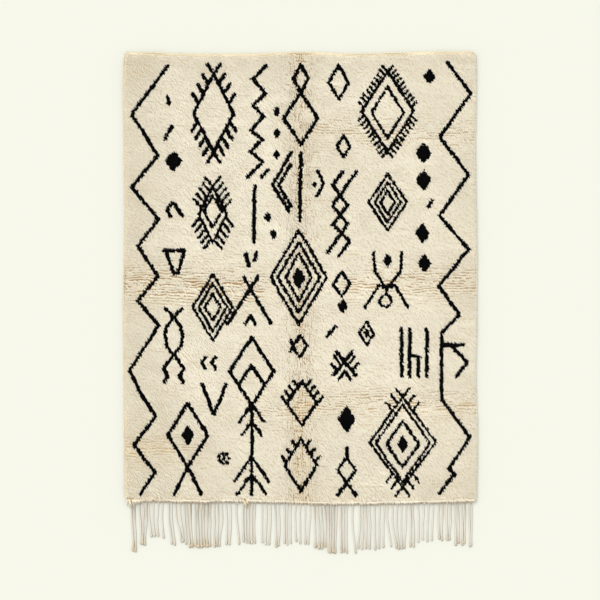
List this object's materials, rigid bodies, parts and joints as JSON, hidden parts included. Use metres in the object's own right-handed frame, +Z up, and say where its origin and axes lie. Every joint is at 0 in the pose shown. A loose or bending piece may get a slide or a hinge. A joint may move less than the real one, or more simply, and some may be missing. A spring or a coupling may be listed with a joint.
{
  "type": "azilal rug",
  "caption": "Cream hand-knotted wool pile rug with black traditional line motifs and a knotted fringe along one end, lying flat on a floor.",
  "frame": {"origin": "on the floor under the middle of the whole rug, fringe included", "axes": "+Z up out of the pile, +Y along the length towards the plain end, +X across the width to the right as seen from above with the fringe nearest"},
  "size_m": [1.6164, 2.2734, 0.0226],
  "materials": {
    "wool_pile": "matte hand-knotted wool pile, cream with black motifs",
    "warp_fringe": "matte twisted undyed warp yarn with knotted ends"
  },
  "bodies": {
    "root": {"rug_body": "wool_pile", "fringe": "warp_fringe"}
  },
  "joints": []
}
